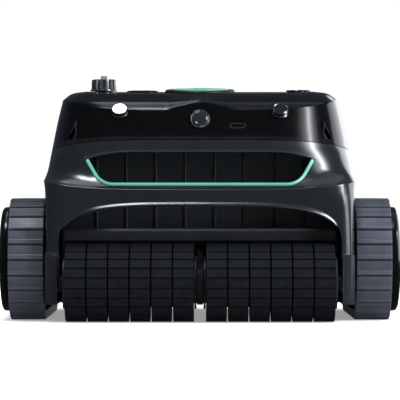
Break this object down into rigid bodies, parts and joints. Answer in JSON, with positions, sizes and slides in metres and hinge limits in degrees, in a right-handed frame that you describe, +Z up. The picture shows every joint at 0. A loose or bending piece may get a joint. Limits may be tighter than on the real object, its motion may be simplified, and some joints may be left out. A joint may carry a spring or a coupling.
{
  "type": "tracked pool cleaner",
  "caption": "Tracked robotic pool cleaner with twin finned brush rollers, a carrying handle opening, a hinged filter lid and a roof outlet.",
  "frame": {"origin": "middle of the machine's footprint, on the plane the tracks stand on", "axes": "+Z up, -Y is the front with the camera and the brush rollers, +X is the viewer's right from the front"},
  "size_m": [0.415, 0.4299, 0.2556],
  "materials": {
    "gloss_shell": "piano black gloss",
    "satin_shell": "satin dark grey",
    "chassis": "fine matte texture",
    "basket": "matte",
    "knob": "satin",
    "teal_trim": "teal, semi gloss",
    "outlet": "gloss",
    "lens": "clear coated dark lens",
    "track_rubber": "moulded rubber, slate",
    "fin_rubber": "moulded rubber, black",
    "flap_rubber": "soft rubber",
    "roller": "satin",
    "wheel": "satin",
    "gear": "moulded acetal",
    "bushing": "satin",
    "axle": "turned steel",
    "motor": "plated can",
    "impeller": "moulded",
    "battery": "wrapped cells",
    "board": "lacquered board"
  },
  "bodies": {
    "body": {"battery_pack": "battery", "bottom_plate": "chassis", "brush_housing": "chassis", "camera_lens": "lens", "center_bracket": "chassis", "charge_socket": "chassis", "control_board": "board", "filter_basket": "basket", "front_grille_panel": "chassis", "handle_trim": "teal_trim", "left_brush_bushing": "bushing", "left_drive_motor": "motor", "left_rear_axle": "axle", "left_sensor": "lens", "left_side_cover": "gloss_shell", "left_side_frame": "satin_shell", "left_track_belt": "track_rubber", "outlet_grille": "teal_trim", "outlet_ring": "outlet", "pressure_sensor": "knob", "pump_housing": "chassis", "pump_motor": "motor", "rear_bumper": "chassis", "right_brush_bushing": "bushing", "right_drive_motor": "motor", "right_rear_axle": "axle", "right_sensor": "lens", "right_side_cover": "gloss_shell", "right_side_frame": "satin_shell", "right_track_belt": "track_rubber", "service_deck": "chassis", "status_window": "lens", "suction_duct": "chassis", "top_cover": "gloss_shell", "upper_shell": "satin_shell"},
    "impeller": {"impeller": "impeller"},
    "filter_lid": {"filter_lid": "gloss_shell"},
    "lid_latch": {"lid_latch": "satin_shell"},
    "suction_flap": {"suction_flap": "flap_rubber"},
    "charge_cap": {"charge_cap": "knob"},
    "power_button": {"power_button": "knob"},
    "left_drive": {"left_front_wheel": "wheel", "left_front_axle": "axle", "left_drive_gear": "gear"},
    "left_rear": {"left_rear_wheel": "wheel"},
    "left_pinion": {"left_motor_pinion": "gear"},
    "left_idler": {"left_idler_gear": "gear"},
    "left_brush": {"left_brush_core": "roller", "left_brush_fins": "fin_rubber", "left_brush_gear": "gear"},
    "right_drive": {"right_front_wheel": "wheel", "right_front_axle": "axle", "right_drive_gear": "gear"},
    "right_rear": {"right_rear_wheel": "wheel"},
    "right_pinion": {"right_motor_pinion": "gear"},
    "right_idler": {"right_idler_gear": "gear"},
    "right_brush": {"right_brush_core": "roller", "right_brush_fins": "fin_rubber", "right_brush_gear": "gear"}
  },
  "joints": [
    {"name": "left_drive_spin", "type": "hinge", "parent": "body", "child": "left_drive", "pos_m": [-0.1468, -0.11, 0.063], "axis": [1, 0, 0], "continuous": true},
    {"name": "left_rear_spin", "type": "hinge", "parent": "body", "child": "left_rear", "pos_m": [-0.1785, 0.12, 0.063], "axis": [1, 0, 0], "continuous": true},
    {"name": "left_pinion_spin", "type": "hinge", "parent": "body", "child": "left_pinion", "pos_m": [-0.149, -0.08511, 0.07173], "axis": [1, 0, 0], "continuous": true},
    {"name": "left_idler_spin", "type": "hinge", "parent": "body", "child": "left_idler", "pos_m": [-0.149, -0.14596, 0.05039], "axis": [1, 0, 0], "continuous": true},
    {"name": "left_brush_spin", "type": "hinge", "parent": "body", "child": "left_brush", "pos_m": [-0.075, -0.175, 0.0402], "axis": [1, 0, 0], "continuous": true},
    {"name": "right_drive_spin", "type": "hinge", "parent": "body", "child": "right_drive", "pos_m": [0.1468, -0.11, 0.063], "axis": [1, 0, 0], "continuous": true},
    {"name": "right_rear_spin", "type": "hinge", "parent": "body", "child": "right_rear", "pos_m": [0.1785, 0.12, 0.063], "axis": [1, 0, 0], "continuous": true},
    {"name": "right_pinion_spin", "type": "hinge", "parent": "body", "child": "right_pinion", "pos_m": [0.149, -0.08511, 0.07173], "axis": [1, 0, 0], "continuous": true},
    {"name": "right_idler_spin", "type": "hinge", "parent": "body", "child": "right_idler", "pos_m": [0.149, -0.14596, 0.05039], "axis": [1, 0, 0], "continuous": true},
    {"name": "right_brush_spin", "type": "hinge", "parent": "body", "child": "right_brush", "pos_m": [0.075, -0.175, 0.0402], "axis": [1, 0, 0], "continuous": true},
    {"name": "impeller_spin", "type": "hinge", "parent": "body", "child": "impeller", "pos_m": [0, -0.066, 0.185], "axis": [0, 0, 1], "continuous": true},
    {"name": "filter_lid_hinge", "type": "hinge", "parent": "body", "child": "filter_lid", "pos_m": [0, 0.13, 0.2392], "axis": [-1, 0, 0], "range_deg": [0, 100]},
    {"name": "lid_latch_slide", "type": "slide", "parent": "filter_lid", "child": "lid_latch", "axis": [0, 1, 0], "range_m": [0, 0.005], "stiffness_N_per_m": 200},
    {"name": "suction_flap_hinge", "type": "hinge", "parent": "body", "child": "suction_flap", "pos_m": [0, 0.05, 0.0648], "axis": [1, 0, 0], "range_deg": [0, 75]},
    {"name": "charge_cap_turn", "type": "hinge", "parent": "body", "child": "charge_cap", "pos_m": [-0.1018, -0.06, 0.2392], "axis": [0, 0, 1], "range_deg": [0, 90]},
    {"name": "power_button_press", "type": "slide", "parent": "body", "child": "power_button", "axis": [0, 0, -1], "range_m": [0, 0.0018], "stiffness_N_per_m": 400}
  ],
  "couplings": [
    {"joint": "left_rear_spin", "follows": "left_drive_spin", "ratio": 1},
    {"joint": "left_pinion_spin", "follows": "left_drive_spin", "ratio": -2},
    {"joint": "left_idler_spin", "follows": "left_drive_spin", "ratio": -0.85714},
    {"joint": "left_brush_spin", "follows": "left_drive_spin", "ratio": 1.7143},
    {"joint": "right_rear_spin", "follows": "right_drive_spin", "ratio": 1},
    {"joint": "right_pinion_spin", "follows": "right_drive_spin", "ratio": -2},
    {"joint": "right_idler_spin", "follows": "right_drive_spin", "ratio": -0.85714},
    {"joint": "right_brush_spin", "follows": "right_drive_spin", "ratio": 1.7143}
  ]
}
